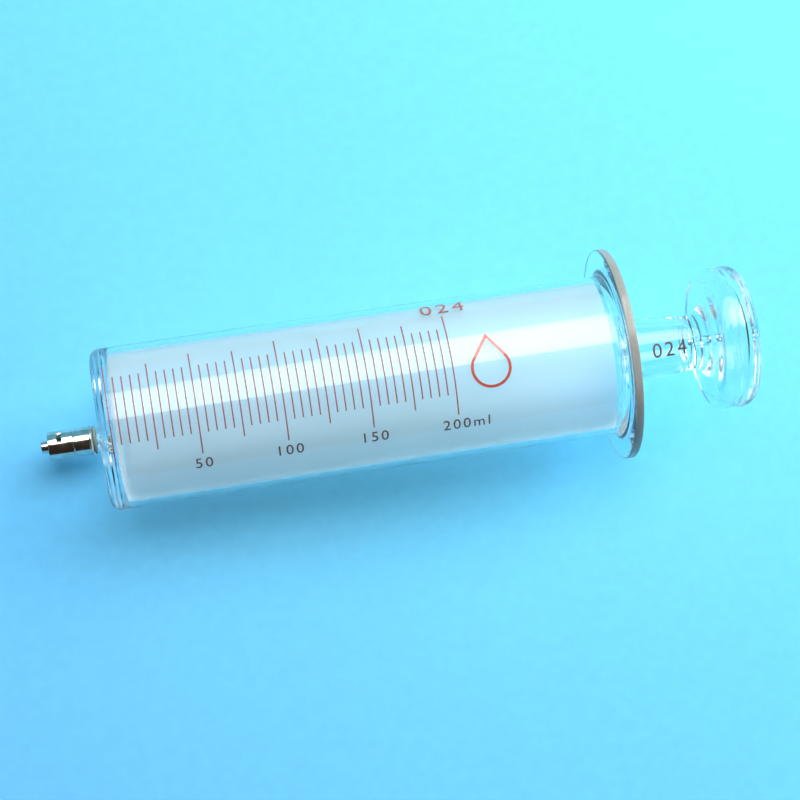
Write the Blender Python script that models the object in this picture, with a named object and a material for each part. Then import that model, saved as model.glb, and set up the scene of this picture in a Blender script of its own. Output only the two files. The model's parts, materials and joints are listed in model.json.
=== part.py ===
"""A 200 ml all-glass syringe with a metal luer-lock tip.

Five separate solids: the glass barrel, the hollow ground-glass plunger, the metal hub with the
male luer cone, its threaded lock collar, and the ring of cement that holds the hub on the
barrel's glass nozzle. The plunger slides along the barrel.

Along the syringe's own axis, x = 0 is the 0 ml mark and +x points to the plunger's head.
The whole syringe then lies on its finger flange and on the edge of its base, so its axis rises
slightly towards the head, and the origin is the bottom centre of the object's box.
"""

import math

import bmesh
import bpy
from mathutils import Matrix, Vector

MM = 0.001

# Facets round a turned piece.
BODY_SEGMENTS = 40
TIP_SEGMENTS = 24

# What the syringe holds, and the clearances between its pieces.
CAPACITY = 200e-6                   # cubic metres, which is 200 ml
RUNNING_CLEARANCE = 0.1 * MM        # ground plunger in its bore, on the radius
JOINT_GAP = 0.3 * MM                # between pieces that touch

# Barrel.
BORE_RADIUS = 24.2 * MM
BARREL_WALL = 2.0 * MM
BORE_DEPTH = 167.3 * MM             # from the inner floor to the open end
BASE_THICKNESS = 3.7 * MM
BASE_CORNER = 3.5 * MM
FLOOR_CORNER = 2.8 * MM
FLANGE_REACH = 8.6 * MM             # how far the finger flange stands out from the tube
FLANGE_THICKNESS = 3.0 * MM
FLANGE_ROUNDING = 0.6 * MM
FLANGE_FILLET = 2.5 * MM
MOUTH_ROUNDING = 1.0 * MM

# Glass nozzle at the barrel's base. It stands off the centre line, on the side that lies down.
NOZZLE_OFFSET = 12.5 * MM
NOZZLE_TURN = math.radians(3.5)     # how far the offset leans from straight down towards +Y
NOZZLE_NECK_RADIUS = 3.9 * MM
NOZZLE_NECK_LENGTH = 1.4 * MM
NOZZLE_NECK_FILLET = 0.8 * MM
SPIGOT_RADIUS = 2.9 * MM
SPIGOT_LENGTH = 6.0 * MM
SPIGOT_CHAMFER = 0.4 * MM
NOZZLE_BORE_RADIUS = 1.2 * MM
OUTLET_FLARE = 1.3 * MM

# Plunger.
PLUNGER_WALL = 2.5 * MM
EDGE_RELIEF = 0.2 * MM              # the plunger's front edge is this much rounder than the floor
SHOULDER_SETBACK = 7.0 * MM         # the ground body ends this far inside the barrel's mouth
SHOULDER_ROUNDING = 8.0 * MM
NECK_BASE_RADIUS = 10.3 * MM
NECK_TOP_RADIUS = 8.9 * MM
NECK_LENGTH = 18.0 * MM
NECK_WALL = 2.4 * MM
WAIST_LENGTH = 7.4 * MM             # thick glass between the neck's hollow and the head's
WAIST_BORE_RADIUS = 1.4 * MM
HEAD_FILLET = 4.0 * MM
HEAD_RADIUS = 23.6 * MM
HEAD_THICKNESS = 14.5 * MM
HEAD_ROUNDING = 4.5 * MM
HEAD_GROOVE_DEPTH = 0.5 * MM
HEAD_WALL = 3.0 * MM
VENT_RADIUS = 1.5 * MM

# Cement ring.
CEMENT_THICKNESS = 0.5 * MM
CEMENT_BEAD_LENGTH = 1.0 * MM

# Metal hub and its male cone, which has the standard 6 percent taper.
HUB_WALL = 0.7 * MM
HUB_BEAD_HEIGHT = 0.25 * MM
HUB_BEAD_LENGTH = 1.2 * MM
HUB_WEB = 1.2 * MM
COLLAR_SEAT_LENGTH = 1.7 * MM
CONE_TIP_RADIUS = 2.0 * MM
CONE_HALF_TAPER = 0.03
CONE_BORE_RADIUS = 1.05 * MM
CONE_PROJECTION = 2.4 * MM          # how far the cone stands out of the lock collar
CONE_TIP_ROUNDING = 0.3 * MM

# Lock collar, with a two-start internal thread and two windows.
COLLAR_LENGTH = 8.2 * MM
COLLAR_WALL = 0.7 * MM
THREAD_MAJOR_RADIUS = 4.0 * MM
THREAD_MINOR_RADIUS = 3.5 * MM
THREAD_LEAD = 5.0 * MM
THREAD_STARTS = 2
THREAD_ROWS = 21                    # rings of points along the thread
WINDOW_LENGTH = 1.7 * MM
WINDOW_WIDTH = 3.6 * MM
WINDOW_SETBACK = 2.9 * MM           # from the collar's front face to the window
WINDOW_TURN = math.radians(-18)     # where the windows stop when the collar is pressed home

# Sizes that follow from those above.
SCALE_LENGTH = CAPACITY / (math.pi * BORE_RADIUS ** 2)
FLOOR_X = -JOINT_GAP
BASE_X = FLOOR_X - BASE_THICKNESS
MOUTH_X = FLOOR_X + BORE_DEPTH
TUBE_RADIUS = BORE_RADIUS + BARREL_WALL
FLANGE_RADIUS = TUBE_RADIUS + FLANGE_REACH
FLANGE_FRONT_X = MOUTH_X - FLANGE_THICKNESS
SPIGOT_ROOT_X = BASE_X - NOZZLE_NECK_LENGTH
SPIGOT_END_X = SPIGOT_ROOT_X - SPIGOT_LENGTH

PLUNGER_RADIUS = BORE_RADIUS - RUNNING_CLEARANCE
SHOULDER_X = MOUTH_X - SHOULDER_SETBACK
NECK_START_X = SHOULDER_X + PLUNGER_RADIUS - NECK_BASE_RADIUS
NECK_END_X = NECK_START_X + NECK_LENGTH
HEAD_FRONT_X = NECK_END_X + HEAD_FILLET
HEAD_REAR_X = HEAD_FRONT_X + HEAD_THICKNESS

CEMENT_INNER_RADIUS = SPIGOT_RADIUS + JOINT_GAP
CEMENT_OUTER_RADIUS = CEMENT_INNER_RADIUS + CEMENT_THICKNESS
SOCKET_RADIUS = CEMENT_OUTER_RADIUS + JOINT_GAP
HUB_RADIUS = SOCKET_RADIUS + HUB_WALL
CEMENT_REAR_X = SPIGOT_ROOT_X - JOINT_GAP
CEMENT_BEAD_X = CEMENT_REAR_X - CEMENT_BEAD_LENGTH
HUB_REAR_X = CEMENT_BEAD_X - JOINT_GAP
SOCKET_FLOOR_X = SPIGOT_END_X - JOINT_GAP
HUB_FRONT_X = SOCKET_FLOOR_X - HUB_WEB
COLLAR_REAR_X = HUB_FRONT_X - JOINT_GAP
COLLAR_FRONT_X = COLLAR_REAR_X - COLLAR_LENGTH
COLLAR_RADIUS = THREAD_MAJOR_RADIUS + COLLAR_WALL
COLLAR_SEAT_RADIUS = THREAD_MINOR_RADIUS - JOINT_GAP
COLLAR_SEAT_X = HUB_FRONT_X - COLLAR_SEAT_LENGTH
CONE_TIP_X = COLLAR_FRONT_X - CONE_PROJECTION
CONE_ROOT_RADIUS = CONE_TIP_RADIUS + CONE_HALF_TAPER * (COLLAR_SEAT_X - CONE_TIP_X)


def clear_scene():
    for thing in list(bpy.data.objects):
        bpy.data.objects.remove(thing, do_unlink=True)


def plain_material(name, colour, roughness, metallic=0.0, transmission=0.0):
    material = bpy.data.materials.new(name)
    material.use_nodes = True
    shader = material.node_tree.nodes["Principled BSDF"]
    shader.inputs["Base Color"].default_value = (*colour, 1.0)
    shader.inputs["Roughness"].default_value = roughness
    shader.inputs["Metallic"].default_value = metallic
    shader.inputs["Transmission Weight"].default_value = transmission
    return material


def arc(centre_x, centre_r, radius, start, end, steps):
    """Points (x, r) on an arc. Angles are in degrees from +x towards +r."""
    points = []
    for step in range(steps + 1):
        angle = math.radians(start + (end - start) * step / steps)
        points.append((centre_x + radius * math.cos(angle), centre_r + radius * math.sin(angle)))
    return points


def add_object(name, bm, material):
    """Give the mesh its outward faces, smooth shading and material, and link it."""
    bmesh.ops.recalc_face_normals(bm, faces=bm.faces)
    mesh = bpy.data.meshes.new(name)
    bm.to_mesh(mesh)
    bm.free()
    mesh.shade_smooth()
    mesh.set_sharp_from_angle(angle=math.radians(30))
    mesh.materials.append(material)
    thing = bpy.data.objects.new(name, mesh)
    bpy.context.scene.collection.objects.link(thing)
    return thing


def turned(name, outline, segments, material, closed=True):
    """Spin an outline of (x, r) points round the x axis, with a flat facet underneath.

    A closed outline makes a ring; an open one starts and ends on the axis.
    """
    bm = bmesh.new()
    half_step = Matrix.Rotation(math.pi / segments, 3, "X")
    corners = [bm.verts.new(half_step @ Vector((x, 0.0, r))) for x, r in outline]
    edges = [bm.edges.new(pair) for pair in zip(corners, corners[1:])]
    if closed:
        edges.append(bm.edges.new((corners[-1], corners[0])))
    bmesh.ops.spin(bm, geom=corners + edges, cent=(0.0, 0.0, 0.0), axis=(1.0, 0.0, 0.0),
                   dvec=(0.0, 0.0, 0.0), angle=2.0 * math.pi, steps=segments, use_merge=True)
    bmesh.ops.remove_doubles(bm, verts=bm.verts, dist=1e-7)
    return add_object(name, bm, material)


def barrel_outline():
    outline = [
        (SPIGOT_END_X, NOZZLE_BORE_RADIUS),
        (SPIGOT_END_X, SPIGOT_RADIUS - SPIGOT_CHAMFER),
        (SPIGOT_END_X + SPIGOT_CHAMFER, SPIGOT_RADIUS),
        (SPIGOT_ROOT_X, SPIGOT_RADIUS),
        (SPIGOT_ROOT_X, NOZZLE_NECK_RADIUS),
    ]
    outline += arc(BASE_X - NOZZLE_NECK_FILLET, NOZZLE_NECK_RADIUS + NOZZLE_NECK_FILLET,
                   NOZZLE_NECK_FILLET, 270, 360, 3)
    outline += arc(BASE_X + BASE_CORNER, TUBE_RADIUS - BASE_CORNER, BASE_CORNER, 180, 90, 5)
    outline += arc(FLANGE_FRONT_X - FLANGE_FILLET, TUBE_RADIUS + FLANGE_FILLET,
                   FLANGE_FILLET, 270, 360, 5)
    outline += arc(FLANGE_FRONT_X + FLANGE_ROUNDING, FLANGE_RADIUS - FLANGE_ROUNDING,
                   FLANGE_ROUNDING, 180, 90, 3)
    outline += arc(MOUTH_X - FLANGE_ROUNDING, FLANGE_RADIUS - FLANGE_ROUNDING,
                   FLANGE_ROUNDING, 90, 0, 3)
    outline += arc(MOUTH_X - MOUTH_ROUNDING, BORE_RADIUS + MOUTH_ROUNDING,
                   MOUTH_ROUNDING, 0, -90, 3)
    outline += arc(FLOOR_X + FLOOR_CORNER, BORE_RADIUS - FLOOR_CORNER, FLOOR_CORNER, 90, 180, 4)
    outline += [
        (FLOOR_X, NOZZLE_BORE_RADIUS + OUTLET_FLARE),
        (FLOOR_X - OUTLET_FLARE, NOZZLE_BORE_RADIUS),
    ]
    return outline


def move_off_centre(piece, reach):
    """Shift what lies within reach of the centre line to where the nozzle stands."""
    shift = Vector((0.0, math.sin(NOZZLE_TURN), -math.cos(NOZZLE_TURN))) * NOZZLE_OFFSET
    for vertex in piece.data.vertices:
        if math.hypot(vertex.co.y, vertex.co.z) < reach:
            vertex.co += shift


def make_barrel():
    """The tube is turned with its nozzle in the middle, and then the nozzle is moved."""
    glass = plain_material("barrel_glass", (0.93, 0.98, 0.99), 0.03, transmission=1.0)
    barrel = turned("barrel", barrel_outline(), BODY_SEGMENTS, glass)
    move_off_centre(barrel, NOZZLE_NECK_RADIUS + 2 * NOZZLE_NECK_FILLET)
    return barrel


def plunger_outline():
    edge = FLOOR_CORNER + EDGE_RELIEF
    hollow_radius = PLUNGER_RADIUS - PLUNGER_WALL
    neck_fillet = PLUNGER_RADIUS - NECK_BASE_RADIUS - SHOULDER_ROUNDING
    outside = [(0.0, 0.0)]
    outside += arc(edge, PLUNGER_RADIUS - edge, edge, 180, 90, 4)
    outside += arc(SHOULDER_X, PLUNGER_RADIUS - SHOULDER_ROUNDING, SHOULDER_ROUNDING, 90, 0, 5)
    outside += arc(NECK_START_X, NECK_BASE_RADIUS + neck_fillet, neck_fillet, 180, 270, 4)[1:]
    outside += arc(NECK_END_X, NECK_TOP_RADIUS + HEAD_FILLET, HEAD_FILLET, 270, 360, 3)
    outside += head_outline()

    inner_rounding = SHOULDER_ROUNDING - PLUNGER_WALL
    inner_neck = NECK_BASE_RADIUS - NECK_WALL
    waist_start = HEAD_FRONT_X + HEAD_WALL - WAIST_LENGTH
    hollow_end = SHOULDER_X + hollow_radius - inner_neck
    inner_fillet = hollow_radius - inner_neck - inner_rounding
    inside = [
        (HEAD_REAR_X, VENT_RADIUS),
        (HEAD_REAR_X - HEAD_WALL, VENT_RADIUS),
    ]
    inside += head_hollow_outline()
    inside += [
        (waist_start, WAIST_BORE_RADIUS),
    ]
    inside += arc(waist_start - NECK_WALL, NECK_TOP_RADIUS - 2 * NECK_WALL, NECK_WALL, 0, 90, 4)
    inside += arc(hollow_end, inner_neck + inner_fillet, inner_fillet, 270, 180, 4)
    inside += arc(SHOULDER_X, hollow_radius - inner_rounding, inner_rounding, 0, 90, 4)[1:]
    inside += arc(PLUNGER_WALL + edge, hollow_radius - edge, edge, 90, 180, 3)
    inside += [(PLUNGER_WALL, 0.0)]
    return outside + inside


def head_outline():
    """The head's front and rear rims, with a shallow groove round its middle."""
    middle = HEAD_FRONT_X + HEAD_THICKNESS / 2
    land = (HEAD_THICKNESS - 2 * HEAD_ROUNDING) / 4
    outline = arc(HEAD_FRONT_X + HEAD_ROUNDING, HEAD_RADIUS - HEAD_ROUNDING,
                  HEAD_ROUNDING, 180, 90, 4)
    outline += [
        (middle - land, HEAD_RADIUS),
        (middle, HEAD_RADIUS - HEAD_GROOVE_DEPTH),
        (middle + land, HEAD_RADIUS),
    ]
    outline += arc(HEAD_REAR_X - HEAD_ROUNDING, HEAD_RADIUS - HEAD_ROUNDING,
                   HEAD_ROUNDING, 90, 0, 4)
    return outline


def head_hollow_outline():
    """The hollow in the head, from its rear wall to the thick glass at the waist."""
    front = HEAD_FRONT_X + HEAD_WALL
    rear = HEAD_REAR_X - HEAD_WALL
    radius = HEAD_RADIUS - HEAD_WALL
    rounding = (rear - front) / 3
    outline = arc(rear - rounding, radius - rounding, rounding, 0, 90, 3)
    outline += arc(front + rounding, radius - rounding, rounding, 90, 180, 3)
    outline += [(front, WAIST_BORE_RADIUS)]
    return outline


def make_plunger():
    glass = plain_material("plunger_ground_glass", (0.92, 0.96, 0.97), 0.5, transmission=0.8)
    return turned("plunger", plunger_outline(), BODY_SEGMENTS, glass, closed=False)


def make_cement_ring():
    """A thin sleeve between nozzle and hub that ends in a bead behind the hub."""
    cement = plain_material("cement", (0.62, 0.60, 0.54), 0.75)
    outline = [
        (SPIGOT_END_X + SPIGOT_CHAMFER, CEMENT_INNER_RADIUS),
        (SPIGOT_END_X + SPIGOT_CHAMFER, CEMENT_OUTER_RADIUS),
        (CEMENT_BEAD_X, CEMENT_OUTER_RADIUS),
        (CEMENT_BEAD_X, HUB_RADIUS),
        (CEMENT_BEAD_X + CEMENT_BEAD_LENGTH / 2, HUB_RADIUS),
        (CEMENT_REAR_X, NOZZLE_NECK_RADIUS),
        (CEMENT_REAR_X, CEMENT_INNER_RADIUS),
    ]
    return turned("cement_ring", outline, TIP_SEGMENTS, cement)


def make_luer_hub():
    """Socket for the glass nozzle at the rear, seat for the collar, and the male luer cone."""
    metal = plain_material("nickel_plate", (0.80, 0.78, 0.74), 0.12, metallic=1.0)
    bead_start = HUB_REAR_X - HUB_BEAD_LENGTH
    outline = [
        (CONE_TIP_X, CONE_BORE_RADIUS),
    ]
    outline += arc(CONE_TIP_X + CONE_TIP_ROUNDING, CONE_TIP_RADIUS - CONE_TIP_ROUNDING,
                   CONE_TIP_ROUNDING, 180, 90, 2)
    outline += [
        (COLLAR_SEAT_X, CONE_ROOT_RADIUS),
        (COLLAR_SEAT_X, COLLAR_SEAT_RADIUS),
        (HUB_FRONT_X, COLLAR_SEAT_RADIUS),
        (HUB_FRONT_X, HUB_RADIUS),
        (bead_start, HUB_RADIUS),
        (bead_start + HUB_BEAD_HEIGHT, HUB_RADIUS + HUB_BEAD_HEIGHT),
        (HUB_REAR_X - HUB_BEAD_HEIGHT, HUB_RADIUS + HUB_BEAD_HEIGHT),
        (HUB_REAR_X, HUB_RADIUS),
        (HUB_REAR_X, SOCKET_RADIUS),
        (SOCKET_FLOOR_X, SOCKET_RADIUS),
        (SOCKET_FLOOR_X, CONE_BORE_RADIUS),
    ]
    return turned("luer_hub", outline, TIP_SEGMENTS, metal)


def thread_radius(x, angle, thread_length):
    """Radius of the collar's bore, where two grooves wind along it and fade out at the seat."""
    turn = THREAD_STARTS * (x / THREAD_LEAD - angle / (2.0 * math.pi))
    groove = 0.5 - 0.5 * math.cos(2.0 * math.pi * turn)
    fade = min(1.0, max(0.0, (thread_length - x) / (THREAD_LEAD / 4)))
    return THREAD_MINOR_RADIUS + (THREAD_MAJOR_RADIUS - THREAD_MINOR_RADIUS) * groove * fade


def collar_sleeve(material):
    """The collar before its windows: rings of points along its outside and threaded bore."""
    thread_length = COLLAR_LENGTH - COLLAR_SEAT_LENGTH
    bm = bmesh.new()
    rings = []

    def add_ring(x, radius_at):
        ring = []
        for index in range(TIP_SEGMENTS):
            angle = 2.0 * math.pi * (index + 0.5) / TIP_SEGMENTS
            radius = radius_at(angle)
            place = (COLLAR_FRONT_X + x, radius * math.sin(angle), radius * math.cos(angle))
            ring.append(bm.verts.new(place))
        rings.append(ring)

    for x in (COLLAR_LENGTH, 0.0):
        add_ring(x, lambda angle: COLLAR_RADIUS)
    for row in range(THREAD_ROWS):
        x = thread_length * row / (THREAD_ROWS - 1)
        add_ring(x, lambda angle, x=x: thread_radius(x, angle, thread_length))
    add_ring(COLLAR_LENGTH, lambda angle: THREAD_MINOR_RADIUS)

    for ring, following in zip(rings, rings[1:] + rings[:1]):
        for index in range(TIP_SEGMENTS):
            beside = (index + 1) % TIP_SEGMENTS
            bm.faces.new((ring[index], ring[beside], following[beside], following[index]))
    return add_object("lock_collar", bm, material)


def make_lock_collar():
    metal = plain_material("nickel_plate_collar", (0.80, 0.78, 0.74), 0.12, metallic=1.0)
    collar = collar_sleeve(metal)
    cutter = add_window_cutter()
    windows = collar.modifiers.new("windows", "BOOLEAN")
    windows.operation = "DIFFERENCE"
    windows.solver = "EXACT"
    windows.object = cutter
    return collar, cutter


def add_window_cutter():
    """One bar across the collar cuts both windows, clear of the cone between them."""
    bm = bmesh.new()
    bmesh.ops.create_cube(bm, size=1.0)
    bmesh.ops.scale(bm, vec=(WINDOW_LENGTH, WINDOW_WIDTH, 3.0 * COLLAR_RADIUS), verts=bm.verts)
    centre_x = COLLAR_FRONT_X + WINDOW_SETBACK + WINDOW_LENGTH / 2
    bmesh.ops.translate(bm, vec=(centre_x, 0.0, 0.0), verts=bm.verts)
    bmesh.ops.rotate(bm, cent=(0.0, 0.0, 0.0), matrix=Matrix.Rotation(WINDOW_TURN, 3, "X"),
                     verts=bm.verts)
    cutter = add_object("window_cutter", bm, plain_material("cutter", (1.0, 0.2, 0.1), 0.5))
    cutter.hide_render = True
    cutter.display_type = "WIRE"
    return cutter


def rest_tilt():
    """Angle at which the flange's rim and the base's corner touch one flat surface.

    Both are rounded, so each is a circle of centres with a rounding round it. Facets bring
    the circles' lowest sides in to the apothem.
    """
    apothem = math.cos(math.pi / BODY_SEGMENTS)
    along = (FLANGE_FRONT_X + FLANGE_ROUNDING) - (BASE_X + BASE_CORNER)
    drop = apothem * ((FLANGE_RADIUS - FLANGE_ROUNDING) - (TUBE_RADIUS - BASE_CORNER))
    rounding_difference = FLANGE_ROUNDING - BASE_CORNER
    return math.atan2(drop, along) + math.asin(rounding_difference / math.hypot(along, drop))


def lay_down(assembly, pieces):
    """Tilt the assembly to rest and put the origin at the bottom centre of its box."""
    tilt = Matrix.Rotation(-rest_tilt(), 4, "Y")
    corners = [tilt @ vertex.co for piece in pieces for vertex in piece.data.vertices]
    lowest = Vector([min(corner[axis] for corner in corners) for axis in range(3)])
    highest = Vector([max(corner[axis] for corner in corners) for axis in range(3)])
    middle = (lowest + highest) / 2
    assembly.rotation_euler = (0.0, -rest_tilt(), 0.0)
    assembly.location = (-middle.x, -middle.y, -lowest.z)


def add_empty(name, parent=None):
    empty = bpy.data.objects.new(name, None)
    empty.empty_display_type = "ARROWS"
    empty.empty_display_size = 20.0 * MM
    bpy.context.scene.collection.objects.link(empty)
    empty.parent = parent
    return empty


def build():
    clear_scene()
    assembly = add_empty("syringe_axis")
    slide = add_empty("plunger_slide_axis", assembly)
    collar, cutter = make_lock_collar()
    tip = [make_cement_ring(), make_luer_hub(), collar, cutter]
    for piece in tip:
        move_off_centre(piece, BORE_RADIUS)
    fixed = [make_barrel()] + tip[:3]
    plunger = make_plunger()
    for piece in fixed + [cutter]:
        piece.parent = assembly
    plunger.parent = slide
    lay_down(assembly, fixed + [plunger])


build()
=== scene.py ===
"""A 200 ml all-glass syringe with a metal luer-lock tip, lying on a pale blue floor."""
import json
import math

import bmesh
import bpy
from mathutils import Matrix, Vector, noise


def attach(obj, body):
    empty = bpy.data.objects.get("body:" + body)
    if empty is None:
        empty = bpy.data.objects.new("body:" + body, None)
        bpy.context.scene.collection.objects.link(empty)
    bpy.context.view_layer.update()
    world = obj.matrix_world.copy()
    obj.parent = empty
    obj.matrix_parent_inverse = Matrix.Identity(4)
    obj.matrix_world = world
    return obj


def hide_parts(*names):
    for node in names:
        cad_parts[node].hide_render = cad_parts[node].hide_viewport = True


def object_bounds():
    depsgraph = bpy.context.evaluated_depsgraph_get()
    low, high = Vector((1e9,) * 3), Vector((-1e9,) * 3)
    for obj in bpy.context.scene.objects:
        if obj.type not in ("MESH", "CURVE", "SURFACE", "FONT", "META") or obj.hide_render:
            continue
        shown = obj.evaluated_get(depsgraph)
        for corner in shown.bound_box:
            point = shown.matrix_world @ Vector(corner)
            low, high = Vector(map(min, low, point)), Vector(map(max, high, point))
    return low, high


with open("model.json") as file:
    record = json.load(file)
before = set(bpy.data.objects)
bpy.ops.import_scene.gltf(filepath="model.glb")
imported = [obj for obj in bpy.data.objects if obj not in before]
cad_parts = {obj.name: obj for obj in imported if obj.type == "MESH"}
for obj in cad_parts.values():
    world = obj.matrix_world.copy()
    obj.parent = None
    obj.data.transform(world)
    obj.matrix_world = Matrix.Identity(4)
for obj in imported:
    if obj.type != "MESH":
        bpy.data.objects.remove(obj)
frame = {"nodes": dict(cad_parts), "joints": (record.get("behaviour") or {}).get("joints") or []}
cad_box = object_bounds()
MM = 0.001


# ---- How the syringe lies ------------------------------------------------------------------
# Every piece is turned about one axis, the plunger's slide. Distances along it start at the
# 0 ml mark, where the plunger's front face stands, and grow towards the plunger's head.

def node_points(name):
    return [vertex.co.copy() for vertex in frame["nodes"][name].data.vertices]


along = Vector(frame["joints"][0]["axis"]).normalized()
sideways = Vector((0.0, 1.0, 0.0))
plunger_points = {tuple(round(value, 6) for value in point) for point in node_points("plunger")}
on_axis = sum((Vector(point) for point in plunger_points), Vector()) / len(plunger_points)
front_face = min(along.dot(point) for point in node_points("plunger"))
zero_mark = on_axis + along * (front_face - along.dot(on_axis))
lie = Matrix((along, sideways, along.cross(sideways))).transposed().to_4x4()
lie.translation = zero_mark


def ends(name):
    """Where a CAD node starts and stops along the syringe's axis, from the 0 ml mark."""
    reach = [along.dot(point - zero_mark) for point in node_points(name)]
    return min(reach), max(reach)


# ---- Camera --------------------------------------------------------------------------------
# It looks steeply down on the syringe and is turned a little about its own line of sight.

CAMERA_AZIMUTH = math.radians(-31.13)
CAMERA_ELEVATION = math.radians(72.0)
CAMERA_ROLL = math.radians(22.12)
CAMERA_DISTANCE = 0.7143
CAMERA_AIM = Vector((93.1, -5.3, 2.0)) * MM

aim = lie @ CAMERA_AIM
away = Vector((math.sin(CAMERA_AZIMUTH) * math.cos(CAMERA_ELEVATION),
               -math.cos(CAMERA_AZIMUTH) * math.cos(CAMERA_ELEVATION),
               math.sin(CAMERA_ELEVATION)))
camera = bpy.data.objects.new("camera", bpy.data.cameras.new("camera"))
camera.data.sensor_width = 36.0
camera.data.lens = 99.0
camera.data.clip_start = 0.01
camera.location = aim + away * CAMERA_DISTANCE
camera.rotation_mode = "QUATERNION"
level = (-away).to_track_quat("-Z", "Y")
camera.rotation_quaternion = level @ Matrix.Rotation(CAMERA_ROLL, 4, "Z").to_quaternion()
bpy.context.scene.collection.objects.link(camera)
bpy.context.scene.camera = camera


# ---- Floor and light -----------------------------------------------------------------------
# A sheet of pale blue paper and one large soft light, above the syringe and a little behind.
# The room is dark on the camera's side and a dim blue-grey behind.

FLOOR_HALF = 2.0


def new_material(name):
    """A material with its Principled shader, for adding texture nodes to."""
    material = bpy.data.materials.new(name)
    material.use_nodes = True
    return material, material.node_tree, material.node_tree.nodes["Principled BSDF"]


def add_node(tree, kind, **settings):
    node = tree.nodes.new(kind)
    for key, value in settings.items():
        setattr(node, key, value)
    return node


def noise_texture(tree, squeeze, scale, detail=2.0, roughness=0.5):
    """Noise that lies along the syringe's own axes, finer by a factor on each of them."""
    where = add_node(tree, "ShaderNodeTexCoord")
    mapping = add_node(tree, "ShaderNodeMapping", vector_type="TEXTURE")
    mapping.inputs["Location"].default_value = lie.translation
    mapping.inputs["Rotation"].default_value = lie.to_euler()
    mapping.inputs["Scale"].default_value = [1.0 / factor for factor in squeeze]
    texture = add_node(tree, "ShaderNodeTexNoise")
    texture.inputs["Scale"].default_value = scale
    texture.inputs["Detail"].default_value = detail
    texture.inputs["Roughness"].default_value = roughness
    tree.links.new(where.outputs["Object"], mapping.inputs["Vector"])
    tree.links.new(mapping.outputs["Vector"], texture.inputs["Vector"])
    return texture.outputs["Fac"]


def between(tree, fac, low, high, start=0.3, stop=0.7):
    """Maps a texture's value from start..stop to low..high."""
    node = add_node(tree, "ShaderNodeMapRange")
    node.inputs["From Min"].default_value = start
    node.inputs["From Max"].default_value = stop
    node.inputs["To Min"].default_value = low
    node.inputs["To Max"].default_value = high
    tree.links.new(fac, node.inputs["Value"])
    return node.outputs["Result"]


def colours(tree, fac, *stops):
    """A colour ramp over a texture's value; each stop is (place, (r, g, b))."""
    ramp = add_node(tree, "ShaderNodeValToRGB")
    elements = ramp.color_ramp.elements
    while len(elements) < len(stops):
        elements.new(0.5)
    for element, (place, colour) in zip(elements, stops):
        element.position = place
        element.color = (*colour, 1.0)
    tree.links.new(fac, ramp.inputs["Fac"])
    return ramp.outputs["Color"]


def bump(tree, shader, fac, height, strength=1.0):
    node = add_node(tree, "ShaderNodeBump")
    node.inputs["Distance"].default_value = height
    node.inputs["Strength"].default_value = strength
    tree.links.new(fac, node.inputs["Height"])
    tree.links.new(node.outputs["Normal"], shader.inputs["Normal"])


paper, tree, shader = new_material("blue_paper")
fibres = noise_texture(tree, (1.0, 1.0, 1.0), 260.0, detail=4.0)
# Painted light: the paper's colour is painted lighter towards the back and the plunger's head, on the lamps'
# side, and darker towards the front and the nozzle. This stands in for the lamps' light falling off across the
# floor.
where = add_node(tree, "ShaderNodeTexCoord")
painted_light_falloff = add_node(tree, "ShaderNodeVectorMath", operation="DOT_PRODUCT")
painted_light_falloff.inputs[1].default_value = (0.8, 0.6, 0.0)
tree.links.new(where.outputs["Object"], painted_light_falloff.inputs[0])
paper_with_painted_falloff = colours(tree, between(tree, painted_light_falloff.outputs["Value"], 0.0, 1.0, -0.22, 0.22),
                (0.0, (0.135, 0.50, 0.90)), (1.0, (0.147, 0.70, 0.94)))
mottle = add_node(tree, "ShaderNodeHueSaturation")
tree.links.new(between(tree, fibres, 0.97, 1.03), mottle.inputs["Value"])
tree.links.new(paper_with_painted_falloff, mottle.inputs["Color"])
tree.links.new(mottle.outputs["Color"], shader.inputs["Base Color"])
shader.inputs["Roughness"].default_value = 0.75
bump(tree, shader, fibres, 0.00015, 0.4)

bm = bmesh.new()
bmesh.ops.create_grid(bm, x_segments=8, y_segments=8, size=FLOOR_HALF)
floor_mesh = bpy.data.meshes.new("floor")
bm.to_mesh(floor_mesh)
bm.free()
floor_mesh.materials.append(paper)
floor = bpy.data.objects.new("floor", floor_mesh)
floor.location.z = cad_box[0][2] - 0.05 * MM
bpy.context.scene.collection.objects.link(floor)


def softbox(name, rise, swing, turn, distance, width, height, radiance):
    """A rectangular light that faces the syringe. Its rise is an angle from the front horizon
    over the top to the back; its swing goes from there towards the plunger's head."""
    lamp = bpy.data.lights.new(name, "AREA")
    lamp.shape = "RECTANGLE"
    lamp.size = width
    lamp.size_y = height
    lamp.energy = radiance * math.pi * width * height
    lamp.color = (1.0, 0.99, 0.97)
    towards = Vector((0.0, -math.cos(rise), math.sin(rise))) * math.cos(swing)
    towards.x = math.sin(swing)
    light = bpy.data.objects.new(name, lamp)
    light.location = aim + towards * distance
    light.rotation_mode = "QUATERNION"
    facing = (-towards).to_track_quat("-Z", "Y")
    light.rotation_quaternion = facing @ Matrix.Rotation(turn, 4, "Z").to_quaternion()
    bpy.context.scene.collection.objects.link(light)


softbox("window_light", math.radians(113), math.radians(12), math.radians(45), 1.2, 2.0, 0.85, 4.3)
softbox("side_light", math.radians(112), math.radians(50), 0.0, 1.2, 0.5, 0.7, 5.0)

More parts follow.
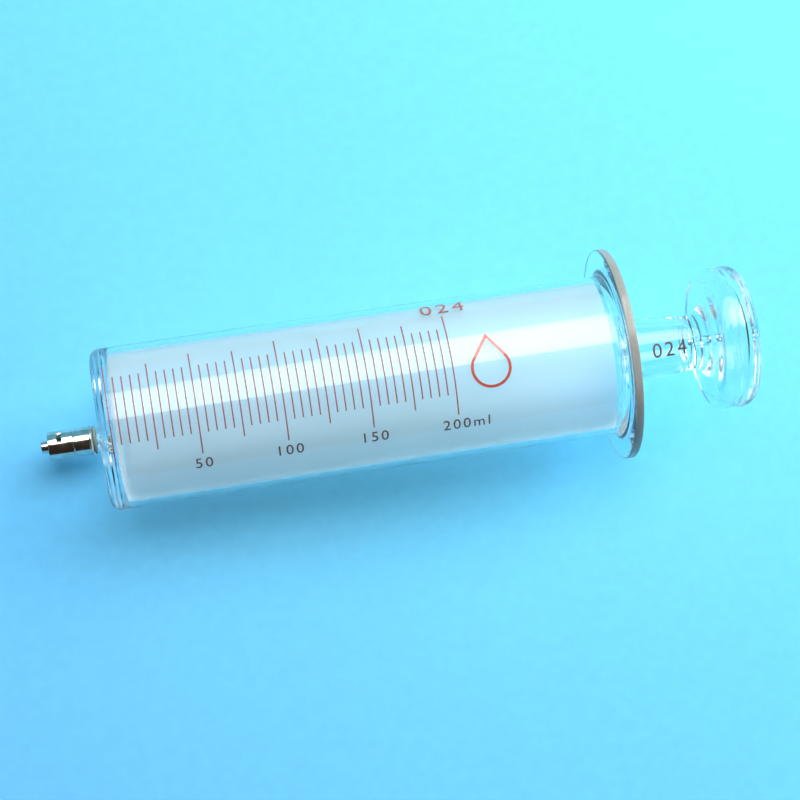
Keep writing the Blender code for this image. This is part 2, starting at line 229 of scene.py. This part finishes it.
world = bpy.data.worlds.new("room")
world.use_nodes = True
tree = world.node_tree
where = add_node(tree, "ShaderNodeTexCoord")
split = add_node(tree, "ShaderNodeSeparateXYZ")
tree.links.new(where.outputs["Generated"], split.inputs["Vector"])
walls = colours(tree, between(tree, split.outputs["Y"], 0.0, 1.0, -1.0, 1.0),
                (0.0, (0.028, 0.021, 0.015)), (0.5, (0.06, 0.048, 0.036)), (0.66, (0.12, 0.16, 0.17)),
                (0.8, (0.14, 0.44, 0.62)))
tree.links.new(walls, tree.nodes["Background"].inputs["Color"])
bpy.context.scene.world = world
bpy.context.scene.view_settings.view_transform = "Standard"
bpy.context.scene.cycles.max_bounces = 48
bpy.context.scene.cycles.transmission_bounces = 48
bpy.context.scene.cycles.glossy_bounces = 24
bpy.context.scene.cycles.transparent_max_bounces = 48


# ---- Barrel --------------------------------------------------------------------------------
# One piece of clear borosilicate glass: a drawn tube with a thick flat base, a nozzle that
# stands out of the base, and a wide finger flange flared out of the open end.

BORE_RADIUS = 24.2 * MM
BARREL_WALL = 2.0 * MM
FLOOR_GAP = 0.3 * MM
BASE_THICKNESS = 3.7 * MM
BASE_CORNER = 3.5 * MM
FLOOR_CORNER = 2.8 * MM
FLANGE_REACH = 8.6 * MM
FLANGE_THICKNESS = 3.0 * MM
FLANGE_ROUNDING = 0.6 * MM
FLANGE_FILLET = 2.5 * MM
MOUTH_ROUNDING = 1.0 * MM
NOZZLE_NECK_RADIUS = 3.9 * MM
NOZZLE_NECK_LENGTH = 1.4 * MM
NOZZLE_NECK_FILLET = 0.8 * MM
SPIGOT_RADIUS = 2.9 * MM
SPIGOT_CHAMFER = 0.4 * MM
NOZZLE_BORE_RADIUS = 1.2 * MM
OUTLET_FLARE = 1.3 * MM
GLASS_SEGMENTS = 160

tube_radius = BORE_RADIUS + BARREL_WALL
spigot_end, mouth = ends("barrel")
collar_points = node_points("lock_collar")
tip_axis = lie.inverted() @ (sum(collar_points, Vector()) / len(collar_points))
nozzle_shift = Vector((0.0, tip_axis.y, tip_axis.z))


def arc(centre_x, centre_r, radius, start, end, steps):
    """Points (x, r) on an arc. Angles are in degrees from +x towards +r."""
    points = []
    for step in range(steps + 1):
        angle = math.radians(start + (end - start) * step / steps)
        points.append((centre_x + radius * math.cos(angle), centre_r + radius * math.sin(angle)))
    return points


def add_piece(name, bm, materials, body):
    """Closes a piece's mesh off: outward faces, smooth shading, materials, and its CAD body."""
    bmesh.ops.recalc_face_normals(bm, faces=bm.faces)
    mesh = bpy.data.meshes.new(name)
    bm.to_mesh(mesh)
    bm.free()
    mesh.transform(lie)
    mesh.shade_smooth()
    mesh.set_sharp_from_angle(angle=math.radians(35))
    for material in materials:
        mesh.materials.append(material)
    piece = bpy.data.objects.new(name, mesh)
    bpy.context.scene.collection.objects.link(piece)
    bpy.context.view_layer.update()
    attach(piece, body)
    return piece


def turned(outline, segments, closed=True):
    """Spins an outline of (x, r) points round the axis. An open one starts and ends on it."""
    bm = bmesh.new()
    corners = [bm.verts.new((x, 0.0, r)) for x, r in outline]
    edges = [bm.edges.new(pair) for pair in zip(corners, corners[1:])]
    if closed:
        edges.append(bm.edges.new((corners[-1], corners[0])))
    bmesh.ops.spin(bm, geom=corners + edges, cent=(0.0, 0.0, 0.0), axis=(1.0, 0.0, 0.0),
                   dvec=(0.0, 0.0, 0.0), angle=2.0 * math.pi, steps=segments, use_merge=True)
    bmesh.ops.remove_doubles(bm, verts=bm.verts, dist=1e-8)
    return bm


def barrel_outline():
    base = -FLOOR_GAP - BASE_THICKNESS
    flange_front = mouth - FLANGE_THICKNESS
    flange_edge = tube_radius + FLANGE_REACH - FLANGE_ROUNDING
    outline = [
        (spigot_end, NOZZLE_BORE_RADIUS),
        (spigot_end, SPIGOT_RADIUS - SPIGOT_CHAMFER),
        (spigot_end + SPIGOT_CHAMFER, SPIGOT_RADIUS),
        (base - NOZZLE_NECK_LENGTH, SPIGOT_RADIUS),
    ]
    outline += arc(base - NOZZLE_NECK_LENGTH + 0.4 * MM, NOZZLE_NECK_RADIUS - 0.4 * MM,
                   0.4 * MM, 180, 90, 4)
    outline += arc(base - NOZZLE_NECK_FILLET, NOZZLE_NECK_RADIUS + NOZZLE_NECK_FILLET,
                   NOZZLE_NECK_FILLET, 270, 360, 8)
    outline += arc(base + BASE_CORNER, tube_radius - BASE_CORNER, BASE_CORNER, 180, 90, 14)
    outline += [(mouth * share, tube_radius) for share in (0.25, 0.5, 0.75)]
    outline += arc(flange_front - FLANGE_FILLET, tube_radius + FLANGE_FILLET,
                   FLANGE_FILLET, 270, 360, 48)
    outline += arc(flange_front + FLANGE_ROUNDING, flange_edge, FLANGE_ROUNDING, 180, 90, 8)
    outline += arc(mouth - FLANGE_ROUNDING, flange_edge, FLANGE_ROUNDING, 90, 0, 8)
    outline += arc(mouth - MOUTH_ROUNDING, BORE_RADIUS + MOUTH_ROUNDING, MOUTH_ROUNDING, 0, -90, 8)
    outline += [(mouth * share, BORE_RADIUS) for share in (0.75, 0.5, 0.25)]
    outline += arc(FLOOR_CORNER - FLOOR_GAP, BORE_RADIUS - FLOOR_CORNER, FLOOR_CORNER, 90, 180, 12)
    outline += [
        (-FLOOR_GAP, NOZZLE_BORE_RADIUS + OUTLET_FLARE),
        (-FLOOR_GAP - OUTLET_FLARE, NOZZLE_BORE_RADIUS),
    ]
    return outline


def move_off_centre(bm, reach):
    """Shifts what lies within reach of the centre line to where the nozzle stands."""
    for vertex in bm.verts:
        if math.hypot(vertex.co.y, vertex.co.z) < reach:
            vertex.co += nozzle_shift


def let_light_through(tree, shader, shade):
    """Shadow rays pass the glass and are only dimmed, so it casts the pale shadow of glass."""
    path = add_node(tree, "ShaderNodeLightPath")
    clear = add_node(tree, "ShaderNodeBsdfTransparent")
    clear.inputs["Color"].default_value = (*shade, 1.0)
    mix = add_node(tree, "ShaderNodeMixShader")
    output = tree.nodes["Material Output"]
    tree.links.new(path.outputs["Is Shadow Ray"], mix.inputs["Fac"])
    tree.links.new(shader.outputs["BSDF"], mix.inputs[1])
    tree.links.new(clear.outputs["BSDF"], mix.inputs[2])
    tree.links.new(mix.outputs["Shader"], output.inputs["Surface"])


def clear_glass(name, shade):
    """Fire-polished glass: nearly colourless, with faint draw lines and the odd smear."""
    material, tree, shader = new_material(name)
    shader.inputs["Base Color"].default_value = (0.985, 0.995, 0.99, 1.0)
    shader.inputs["IOR"].default_value = 1.474
    shader.inputs["Transmission Weight"].default_value = 1.0
    smears = noise_texture(tree, (1.0, 1.0, 1.0), 60.0, detail=3.0)
    tree.links.new(between(tree, smears, 0.0, 0.02, 0.45, 0.75), shader.inputs["Roughness"])
    draw = noise_texture(tree, (0.25, 1.0, 1.0), 45.0, detail=1.0)
    bump(tree, shader, draw, 0.0002, 0.25)
    let_light_through(tree, shader, shade)
    return material


barrel_glass = clear_glass("barrel_glass", (0.90, 0.95, 0.97))
# The flange's rim is ground matt. Its grey-brown colour is a painted reflection of the dim brown room on the
# camera's side.
rim_ground_painted_reflection, tree, shader = new_material("flange_rim_ground_painted_reflection")
shader.inputs["IOR"].default_value = 1.474
shader.inputs["Transmission Weight"].default_value = 0.2
grain = noise_texture(tree, (1.0, 1.0, 1.0), 900.0, detail=3.0)
tint = colours(tree, grain, (0.3, (0.37, 0.34, 0.29)), (0.7, (0.41, 0.38, 0.33)))
tree.links.new(tint, shader.inputs["Base Color"])
tree.links.new(between(tree, grain, 0.16, 0.22), shader.inputs["Roughness"])
let_light_through(tree, shader, (0.85, 0.85, 0.85))
bm = turned(barrel_outline(), GLASS_SEGMENTS)
move_off_centre(bm, NOZZLE_NECK_RADIUS + 2 * NOZZLE_NECK_FILLET)
for face in bm.faces:
    middle = face.calc_center_median()
    on_rim = math.hypot(middle.y, middle.z) > tube_radius + FLANGE_REACH - FLANGE_ROUNDING * 0.3
    face.material_index = 1 if on_rim else 0
barrel = add_piece("barrel_tube", bm, [barrel_glass, rim_ground_painted_reflection], "barrel")
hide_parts("barrel")


# ---- Printed scale -------------------------------------------------------------------------
# Red-brown enamel, screen printed on the outside of the barrel and fired into the glass: a
# line every 5 ml, longer ones at 25 and longest at 50, with the volume under each of those.

CAPACITY = 200e-6
SCALE_FACES = math.radians(85.6)
INK_DEPTH = 0.02 * MM
INK_THICKNESS = 0.05 * MM
LINE_WIDTH = 0.42 * MM
LINE_STEP_ML = 5
LONG_SWEEP = (math.radians(-38), math.radians(38))
MEDIUM_SWEEP = (math.radians(-30), math.radians(34))
SHORT_SWEEP = (math.radians(-23), math.radians(26))
NUMBER_SIZE = 5.2 * MM
NUMBER_DROP = math.radians(-46)
LETTER_SPACING = 1.25

ml = 1e-6 / (math.pi * BORE_RADIUS ** 2)


def on_glass(x, angle, radius):
    """A point at x along the syringe; the angle is from the front horizon over the top."""
    return Vector((x, -radius * math.cos(angle), radius * math.sin(angle)))


def add_line(bm, x, start, stop, width, glass_radius):
    """One printed line round part of the glass: a thin curved bar with closed ends."""
    steps = max(4, round((stop - start) / math.radians(2)))
    rings = []
    for step in range(steps + 1):
        angle = SCALE_FACES + start + (stop - start) * step / steps
        corners = [(-0.5, -INK_DEPTH), (-0.5, INK_THICKNESS), (0.5, INK_THICKNESS), (0.5, -INK_DEPTH)]
        rings.append([bm.verts.new(on_glass(x + side * width, angle, glass_radius + rise))
                      for side, rise in corners])
    for ring, following in zip(rings, rings[1:]):
        for index in range(4):
            beside = (index + 1) % 4
            bm.faces.new((ring[index], ring[beside], following[beside], following[index]))
    bm.faces.new(rings[0])
    bm.faces.new(reversed(rings[-1]))


def add_text(bm, words, size, x, angle, radius_at):
    """Prints words on the glass: flat letters are sliced finely and bent round it."""
    curve = bpy.data.curves.new("print", "FONT")
    curve.body = words
    curve.size = size
    curve.space_character = LETTER_SPACING
    curve.align_x = "CENTER"
    curve.align_y = "CENTER"
    curve.extrude = (INK_THICKNESS + INK_DEPTH) / 2
    curve.resolution_u = 6
    flat = bpy.data.objects.new("print", curve)
    bpy.context.scene.collection.objects.link(flat)
    bpy.context.view_layer.update()
    letters = bpy.data.meshes.new_from_object(flat.evaluated_get(bpy.context.evaluated_depsgraph_get()))
    piece = bmesh.new()
    piece.from_mesh(letters)
    slices = 12
    for step in range(-slices, slices + 1):
        level = size * step / slices
        bmesh.ops.bisect_plane(piece, geom=piece.verts[:] + piece.edges[:] + piece.faces[:],
                               plane_co=(0.0, level, 0.0), plane_no=(0.0, 1.0, 0.0))
    for vertex in piece.verts:
        flat_x, flat_y, rise = vertex.co
        radius = radius_at(x + flat_x)
        rise += (INK_THICKNESS - INK_DEPTH) / 2
        vertex.co = on_glass(x + flat_x, angle + flat_y / radius, radius + rise)
    piece.to_mesh(letters)
    piece.free()
    bm.from_mesh(letters)
    bpy.data.objects.remove(flat)
    bpy.data.curves.remove(curve)
    bpy.data.meshes.remove(letters)


def enamel(name, thin, thick):
    """Fired enamel: a slightly uneven print, glossy where it has melted smooth."""
    material, tree, shader = new_material(name)
    patches = noise_texture(tree, (1.0, 1.0, 1.0), 900.0, detail=3.0)
    tree.links.new(colours(tree, patches, (0.35, thin), (0.65, thick)), shader.inputs["Base Color"])
    tree.links.new(between(tree, patches, 0.25, 0.45), shader.inputs["Roughness"])
    bump(tree, shader, patches, 0.00001, 0.5)
    return material


def barrel_radius_at(x):
    return tube_radius


scale_enamel = enamel("scale_enamel", (0.40, 0.115, 0.085), (0.30, 0.075, 0.06))
bm = bmesh.new()
for volume in range(0, 201, LINE_STEP_ML):
    sweep = SHORT_SWEEP
    if volume % 25 == 0:
        sweep = MEDIUM_SWEEP
    if volume % 50 == 0:
        sweep = LONG_SWEEP
    add_line(bm, volume * ml, *sweep, LINE_WIDTH, tube_radius)
add_piece("scale_lines", bm, [scale_enamel], "barrel")

number_enamel = enamel("number_enamel", (0.16, 0.055, 0.045), (0.10, 0.035, 0.03))
bm = bmesh.new()
for volume, words, shift in ((50, "50", 0.0), (100, "100", 0.0), (150, "150", 0.0), (200, "200ml", 2.5 * MM)):
    add_text(bm, words, NUMBER_SIZE, volume * ml + shift, SCALE_FACES + NUMBER_DROP, barrel_radius_at)
add_piece("scale_numbers", bm, [number_enamel], "barrel")


# ---- Pair number and drop mark -------------------------------------------------------------
# Barrel and plunger are ground to each other, so the same number is printed on both. A plain
# drop in orange-red enamel marks the barrel beside the scale.

PAIR_NUMBER = "024"
PAIR_NUMBER_SIZE = 8.4 * MM
PAIR_NUMBER_X = 109.6 * MM
PAIR_NUMBER_TURN = math.radians(47.5)
DROP_X = 120.8 * MM
DROP_TURN = math.radians(-8)
DROP_WIDTH = 13.0 * MM
DROP_HEIGHT = 18.0 * MM
DROP_LINE = 0.9 * MM

bm = bmesh.new()
add_text(bm, PAIR_NUMBER, PAIR_NUMBER_SIZE, PAIR_NUMBER_X, SCALE_FACES + PAIR_NUMBER_TURN, barrel_radius_at)
add_piece("barrel_pair_number", bm, [scale_enamel], "barrel")


def drop_outline(inset):
    """A drop standing on its round end: a circle below, drawn up to a point."""
    radius = DROP_WIDTH / 2 - inset
    tip = DROP_HEIGHT - DROP_WIDTH / 2 - 2.0 * inset
    lean = math.asin(radius / tip)
    points = [(0.0, tip)]
    steps = 40
    for step in range(steps + 1):
        angle = lean + (-math.pi - 2.0 * lean) * step / steps
        points.append((radius * math.cos(angle), radius * math.sin(angle)))
    return points


def add_ribbon(bm, outer, inner, x, angle, glass_radius):
    """A closed printed outline between two loops of points."""
    rings = []
    for loop, rise in ((outer, INK_THICKNESS), (inner, INK_THICKNESS), (inner, -INK_DEPTH), (outer, -INK_DEPTH)):
        rings.append([bm.verts.new(on_glass(x + px, angle + py / glass_radius, glass_radius + rise))
                      for px, py in loop])
    for ring, following in zip(rings, rings[1:] + rings[:1]):
        for index in range(len(ring)):
            beside = (index + 1) % len(ring)
            bm.faces.new((ring[index], ring[beside], following[beside], following[index]))


drop_enamel = enamel("drop_enamel", (0.62, 0.10, 0.045), (0.50, 0.07, 0.035))
bm = bmesh.new()
add_ribbon(bm, drop_outline(0.0), drop_outline(DROP_LINE), DROP_X, SCALE_FACES + DROP_TURN, tube_radius)
add_piece("drop_mark", bm, [drop_enamel], "barrel")


# ---- Plunger -------------------------------------------------------------------------------
# Blown from one tube of glass and hollow. Its body is ground to fit the bore, which leaves it
# white and translucent; the shoulder, neck and drum-shaped head are fire-polished and clear.

RUNNING_CLEARANCE = 0.1 * MM
PLUNGER_WALL = 2.5 * MM
EDGE_RELIEF = 0.2 * MM
SHOULDER_SETBACK = 7.0 * MM
SHOULDER_ROUNDING = 8.0 * MM
NECK_BASE_RADIUS = 10.3 * MM
NECK_TOP_RADIUS = 8.9 * MM
NECK_LENGTH = 18.0 * MM
NECK_WALL = 2.4 * MM
WAIST_LENGTH = 7.4 * MM
WAIST_BORE_RADIUS = 1.4 * MM
HEAD_FILLET = 4.0 * MM
HEAD_RADIUS = 23.6 * MM
HEAD_ROUNDING = 4.5 * MM
HEAD_GROOVE_DEPTH = 0.5 * MM
HEAD_WALL = 3.0 * MM
VENT_RADIUS = 1.5 * MM
GROUND_PAST_SHOULDER = 1.0 * MM
PLUNGER_NUMBER_SIZE = 6.8 * MM

plunger_radius = BORE_RADIUS - RUNNING_CLEARANCE
front_edge = FLOOR_CORNER + EDGE_RELIEF
shoulder = mouth - SHOULDER_SETBACK
neck_start = shoulder + plunger_radius - NECK_BASE_RADIUS
neck_end = neck_start + NECK_LENGTH
head_front = neck_end + HEAD_FILLET
head_rear = ends("plunger")[1]


def head_outline():
    """The head's two rounded rims with a shallow, soft groove between them."""
    outline = arc(head_front + HEAD_ROUNDING, HEAD_RADIUS - HEAD_ROUNDING, HEAD_ROUNDING, 180, 90, 14)
    start = head_front + HEAD_ROUNDING
    length = head_rear - HEAD_ROUNDING - start
    for step in range(1, 16):
        share = step / 16
        dip = HEAD_GROOVE_DEPTH * (0.5 - 0.5 * math.cos(2.0 * math.pi * share))
        outline.append((start + length * share, HEAD_RADIUS - dip))
    outline += arc(head_rear - HEAD_ROUNDING, HEAD_RADIUS - HEAD_ROUNDING, HEAD_ROUNDING, 90, 0, 14)
    return outline


def plunger_outline():
    hollow_radius = plunger_radius - PLUNGER_WALL
    neck_fillet = plunger_radius - NECK_BASE_RADIUS - SHOULDER_ROUNDING
    outside = [(0.0, 0.0)]
    outside += arc(front_edge, plunger_radius - front_edge, front_edge, 180, 90, 14)
    outside += [(shoulder * share, plunger_radius) for share in (0.25, 0.5, 0.75)]
    outside += arc(shoulder, plunger_radius - SHOULDER_ROUNDING, SHOULDER_ROUNDING, 90, 0, 16)
    outside += arc(neck_start, NECK_BASE_RADIUS + neck_fillet, neck_fillet, 180, 270, 12)[1:]
    outside += arc(neck_end, NECK_TOP_RADIUS + HEAD_FILLET, HEAD_FILLET, 270, 360, 10)
    outside += head_outline()

    inner_rounding = SHOULDER_ROUNDING - PLUNGER_WALL
    inner_neck = NECK_BASE_RADIUS - NECK_WALL
    inner_fillet = hollow_radius - inner_neck - inner_rounding
    hollow_end = shoulder + hollow_radius - inner_neck
    waist_start = head_front + HEAD_WALL - WAIST_LENGTH
    front = head_front + HEAD_WALL
    rear = head_rear - HEAD_WALL
    rounding = (rear - front) / 3
    inside = arc(head_rear - 0.5 * MM, VENT_RADIUS + 0.5 * MM, 0.5 * MM, 0, -90, 4)
    inside += [(rear, VENT_RADIUS)]
    inside += arc(rear - rounding, HEAD_RADIUS - HEAD_WALL - rounding, rounding, 0, 90, 10)
    inside += arc(front + rounding, HEAD_RADIUS - HEAD_WALL - rounding, rounding, 90, 180, 10)
    inside += [
        (front, WAIST_BORE_RADIUS),
        (waist_start, WAIST_BORE_RADIUS),
    ]
    inside += arc(waist_start - NECK_WALL, NECK_TOP_RADIUS - 2 * NECK_WALL, NECK_WALL, 0, 90, 12)
    inside += arc(hollow_end, inner_neck + inner_fillet, inner_fillet, 270, 180, 12)
    inside += arc(shoulder, hollow_radius - inner_rounding, inner_rounding, 0, 90, 12)[1:]
    inside += arc(PLUNGER_WALL + front_edge, hollow_radius - front_edge, front_edge, 90, 180, 12)
    inside += [(PLUNGER_WALL, 0.0)]
    return outside + inside


def ground_glass(name):
    """Glass ground with fine abrasive: white, rough, with faint marks round its length."""
    material, tree, shader = new_material(name)
    shader.inputs["IOR"].default_value = 1.474
    shader.inputs["Transmission Weight"].default_value = 0.86
    grain = noise_texture(tree, (1.0, 1.0, 1.0), 700.0, detail=6.0, roughness=0.7)
    cloud = noise_texture(tree, (0.5, 1.0, 1.0), 35.0, detail=3.0)
    tint = colours(tree, cloud, (0.3, (0.86, 0.92, 0.93)), (0.7, (0.93, 0.96, 0.96)))
    tree.links.new(tint, shader.inputs["Base Color"])
    tree.links.new(between(tree, grain, 0.5, 0.65), shader.inputs["Roughness"])
    bump(tree, shader, grain, 0.00003, 0.6)
    let_light_through(tree, shader, (0.60, 0.53, 0.48))
    return material


plunger_clear = clear_glass("plunger_clear_glass", (0.78, 0.87, 0.93))
plunger_ground = ground_glass("plunger_ground_glass")
bm = turned(plunger_outline(), GLASS_SEGMENTS, closed=False)
for face in bm.faces:
    middle = face.calc_center_median()
    radius = math.hypot(middle.y, middle.z)
    on_side = radius > plunger_radius - PLUNGER_WALL * 0.9 and middle.x < shoulder + GROUND_PAST_SHOULDER
    on_front_edge = radius > plunger_radius - front_edge and middle.x < PLUNGER_WALL * 0.9
    face.material_index = 1 if on_side or on_front_edge else 0
plunger = add_piece("plunger_glass", bm, [plunger_clear, plunger_ground], "plunger")
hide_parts("plunger")


def neck_radius_at(x):
    share = (x - neck_start) / (neck_end - neck_start)
    return NECK_BASE_RADIUS + (NECK_TOP_RADIUS - NECK_BASE_RADIUS) * share


bm = bmesh.new()
add_text(bm, PAIR_NUMBER, PLUNGER_NUMBER_SIZE, (neck_start + neck_end) / 2 - 0.3 * MM,
         SCALE_FACES - math.radians(19.5), neck_radius_at)
add_piece("plunger_pair_number", bm, [number_enamel], "plunger")


# ---- Cement --------------------------------------------------------------------------------
# Set cement fills the gap between the glass spigot and the hub and shows as a bead behind it.

JOINT_GAP = 0.3 * MM
CEMENT_THICKNESS = 0.5 * MM
CEMENT_BEAD_LENGTH = 1.0 * MM
HUB_WALL = 0.7 * MM
TIP_SEGMENTS = 96

cement_inner = SPIGOT_RADIUS + JOINT_GAP
cement_outer = cement_inner + CEMENT_THICKNESS
hub_radius = cement_outer + JOINT_GAP + HUB_WALL
cement_front, cement_rear = ends("cement_ring")
bead_start = cement_rear - CEMENT_BEAD_LENGTH

outline = [(cement_front, cement_inner), (cement_front, cement_outer), (bead_start, cement_outer)]
outline += arc(bead_start + 0.5 * MM, hub_radius - 0.5 * MM, 0.5 * MM, 180, 60, 8)
outline += [(cement_rear - 0.1 * MM, NOZZLE_NECK_RADIUS), (cement_rear, cement_inner)]
cement, tree, shader = new_material("cement")
clumps = noise_texture(tree, (1.0, 1.0, 1.0), 1500.0, detail=4.0)
tint = colours(tree, clumps, (0.3, (0.20, 0.24, 0.22)), (0.7, (0.36, 0.42, 0.38)))
tree.links.new(tint, shader.inputs["Base Color"])
shader.inputs["Roughness"].default_value = 0.8
bump(tree, shader, clumps, 0.0001, 0.6)
bm = turned(outline, TIP_SEGMENTS)
for vertex in bm.verts:
    if vertex.co.x > bead_start:
        swell = noise.noise(vertex.co * 900.0)
        vertex.co.y *= 1.0 + 0.008 * swell
        vertex.co.z *= 1.0 + 0.008 * swell
move_off_centre(bm, BORE_RADIUS)
cement_piece = add_piece("cement_bead", bm, [cement], "barrel")
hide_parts("cement_ring")


# ---- Luer hub ------------------------------------------------------------------------------
# Turned from brass and nickel plated: a socket over the glass spigot, a seat for the lock
# collar, and the male luer cone with its bore.

HUB_BEAD_HEIGHT = 0.25 * MM
HUB_BEAD_LENGTH = 1.2 * MM
COLLAR_SEAT_LENGTH = 1.7 * MM
CONE_TIP_RADIUS = 2.0 * MM
CONE_HALF_TAPER = 0.03
CONE_BORE_RADIUS = 1.05 * MM
THREAD_MAJOR_RADIUS = 4.0 * MM
THREAD_MINOR_RADIUS = 3.5 * MM
EDGE_BREAK = 0.12 * MM

cone_tip, hub_rear = ends("luer_hub")
collar_front, collar_rear = ends("lock_collar")
hub_front = collar_rear + JOINT_GAP
seat_radius = THREAD_MINOR_RADIUS - JOINT_GAP
seat_start = hub_front - COLLAR_SEAT_LENGTH
cone_root = CONE_TIP_RADIUS + CONE_HALF_TAPER * (seat_start - cone_tip)
bead_end = hub_rear - HUB_BEAD_LENGTH

outline = arc(cone_tip + 0.2 * MM, CONE_BORE_RADIUS + 0.2 * MM, 0.2 * MM, 270, 180, 4)
outline += arc(cone_tip + 0.3 * MM, CONE_TIP_RADIUS - 0.3 * MM, 0.3 * MM, 180, 95, 6)
outline += [(seat_start - 0.3 * MM, cone_root), (seat_start, cone_root + 0.3 * MM)]
outline += arc(seat_start + EDGE_BREAK, seat_radius - EDGE_BREAK, EDGE_BREAK, 180, 90, 3)
outline += [(hub_front, seat_radius)]
outline += arc(hub_front + EDGE_BREAK, hub_radius - EDGE_BREAK, EDGE_BREAK, 180, 90, 4)
outline += [(bead_end, hub_radius)]
outline += arc(hub_rear - HUB_BEAD_LENGTH / 2, hub_radius - 0.2 * MM, 0.45 * MM, 150, 30, 8)
outline += [
    (hub_rear, hub_radius - EDGE_BREAK),
    (hub_rear, cement_outer + JOINT_GAP),
    (spigot_end - JOINT_GAP, cement_outer + JOINT_GAP),
    (spigot_end - JOINT_GAP, CONE_BORE_RADIUS),
]


def nickel_plate(name):
    """Bright nickel: fine turning marks round the piece, a few stains and duller patches."""
    material, tree, shader = new_material(name)
    stains = noise_texture(tree, (1.0, 1.0, 1.0), 320.0, detail=5.0)
    tint = colours(tree, stains, (0.35, (0.62, 0.57, 0.50)), (0.65, (0.80, 0.77, 0.73)))
    tree.links.new(tint, shader.inputs["Base Color"])
    shader.inputs["Metallic"].default_value = 1.0
    tree.links.new(between(tree, stains, 0.07, 0.2), shader.inputs["Roughness"])
    turning = noise_texture(tree, (12.0, 0.4, 0.4), 1500.0, detail=2.0)
    bump(tree, shader, turning, 0.00001, 0.35)
    return material


nickel = nickel_plate("nickel_plate")
bm = turned(outline, TIP_SEGMENTS)
move_off_centre(bm, BORE_RADIUS)
hub = add_piece("hub_metal", bm, [nickel], "barrel")
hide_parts("luer_hub")


# ---- Lock collar ---------------------------------------------------------------------------
# A nickel-plated sleeve pressed over the hub's seat. Two thread grooves wind along its bore
# to take the lugs of the mating fitting, and two windows are milled through its wall.

THREAD_LEAD = 5.0 * MM
THREAD_STARTS = 2
THREAD_ROWS = 64
WINDOW_LENGTH = 1.7 * MM
WINDOW_WIDTH = 3.6 * MM
WINDOW_SETBACK = 2.9 * MM
WINDOW_TURN = math.radians(-18)

collar_length = collar_rear - collar_front
thread_length = collar_length - COLLAR_SEAT_LENGTH
collar_radius = THREAD_MAJOR_RADIUS + HUB_WALL


def thread_radius(x, angle):
    """Radius of the threaded bore: flat-topped ridges between rounded grooves."""
    turn = THREAD_STARTS * (x / THREAD_LEAD - angle / (2.0 * math.pi))
    groove = min(1.0, 1.6 * (0.5 - 0.5 * math.cos(2.0 * math.pi * turn)) ** 1.5)
    fade = min(1.0, max(0.0, (thread_length - x) / (THREAD_LEAD / 4)))
    return THREAD_MINOR_RADIUS + (THREAD_MAJOR_RADIUS - THREAD_MINOR_RADIUS) * groove * fade


bm = bmesh.new()
rings = []


def add_ring(x, radius_at):
    ring = []
    for index in range(TIP_SEGMENTS):
        angle = 2.0 * math.pi * index / TIP_SEGMENTS
        radius = radius_at(x, angle)
        ring.append(bm.verts.new((collar_front + x, radius * math.sin(angle), radius * math.cos(angle))))
    rings.append(ring)


for x, r in arc(collar_length - EDGE_BREAK, collar_radius - EDGE_BREAK, EDGE_BREAK, 0, 90, 3):
    add_ring(x, lambda x, angle, r=r: r)
for x, r in arc(EDGE_BREAK, collar_radius - EDGE_BREAK, EDGE_BREAK, 90, 180, 3):
    add_ring(x, lambda x, angle, r=r: r)
for row in range(THREAD_ROWS + 1):
    add_ring(thread_length * row / THREAD_ROWS, thread_radius)
add_ring(collar_length, lambda x, angle: THREAD_MINOR_RADIUS)
for ring, following in zip(rings, rings[1:] + rings[:1]):
    for index in range(TIP_SEGMENTS):
        beside = (index + 1) % TIP_SEGMENTS
        bm.faces.new((ring[index], ring[beside], following[beside], following[index]))
move_off_centre(bm, BORE_RADIUS)
collar = add_piece("collar_metal", bm, [nickel], "barrel")
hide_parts("lock_collar")

bm = bmesh.new()
bmesh.ops.create_cube(bm, size=1.0)
bmesh.ops.scale(bm, vec=(WINDOW_LENGTH, WINDOW_WIDTH, 3.0 * collar_radius), verts=bm.verts)
bmesh.ops.translate(bm, vec=(collar_front + WINDOW_SETBACK + WINDOW_LENGTH / 2, 0.0, 0.0), verts=bm.verts)
bmesh.ops.rotate(bm, cent=(0.0, 0.0, 0.0), matrix=Matrix.Rotation(WINDOW_TURN, 3, "X"), verts=bm.verts)
move_off_centre(bm, BORE_RADIUS)
bmesh.ops.recalc_face_normals(bm, faces=bm.faces)
cutter_mesh = bpy.data.meshes.new("window_cutter")
bm.to_mesh(cutter_mesh)
bm.free()
cutter = bpy.data.objects.new("window_cutter", cutter_mesh)
cutter.matrix_world = lie
bpy.context.scene.collection.objects.link(cutter)
windows = collar.modifiers.new("windows", "BOOLEAN")
windows.operation = "DIFFERENCE"
windows.object = cutter
bpy.context.view_layer.update()
cut_mesh = bpy.data.meshes.new_from_object(collar.evaluated_get(bpy.context.evaluated_depsgraph_get()))
collar.modifiers.clear()
collar.data = cut_mesh
bpy.data.objects.remove(cutter)
